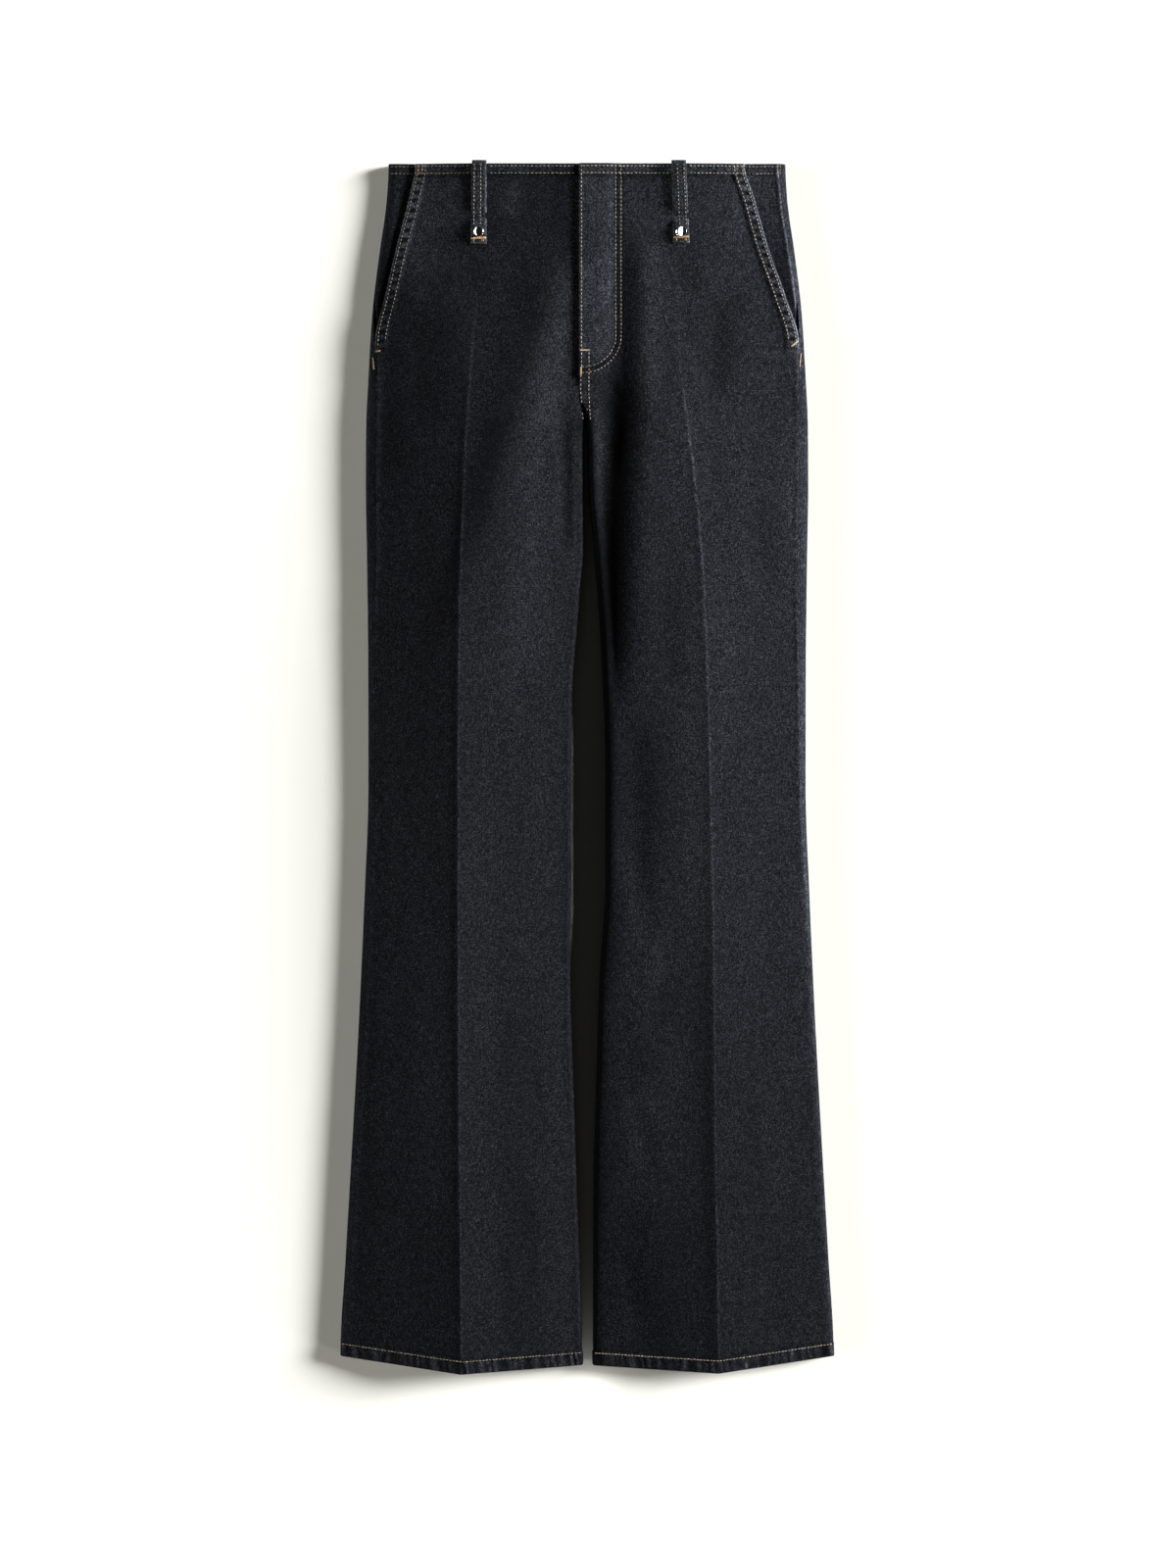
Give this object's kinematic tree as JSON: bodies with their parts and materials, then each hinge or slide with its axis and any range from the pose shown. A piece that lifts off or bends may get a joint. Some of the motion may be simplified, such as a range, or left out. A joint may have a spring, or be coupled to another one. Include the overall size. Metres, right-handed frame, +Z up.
{
  "type": "bootcut jeans",
  "caption": "Bootcut jeans laid flat, front up: pressed creases, lapped fly, slanted pockets and studded belt loops, in hollow cloth walls that rest on a flat underside.",
  "frame": {"origin": "on the surface the garment lies on, under the centre of its bounding box", "axes": "+Y up the garment to the waist, +Z up off the surface, +X towards the wearer's left leg"},
  "size_m": [0.454, 1.1127, 0.03],
  "materials": {
    "denim": "dark indigo slub twill, almost black",
    "denim_inside": "dark indigo twill behind the pocket openings",
    "stud_metal": "polished nickel"
  },
  "bodies": {
    "root": {"front_right": "denim", "front_left": "denim", "back_right": "denim", "back_left": "denim", "pocket_facing_right": "denim_inside", "pocket_facing_left": "denim_inside", "belt_loop_right": "denim", "belt_loop_left": "denim", "stud_right": "stud_metal", "stud_left": "stud_metal"}
  },
  "joints": []
}
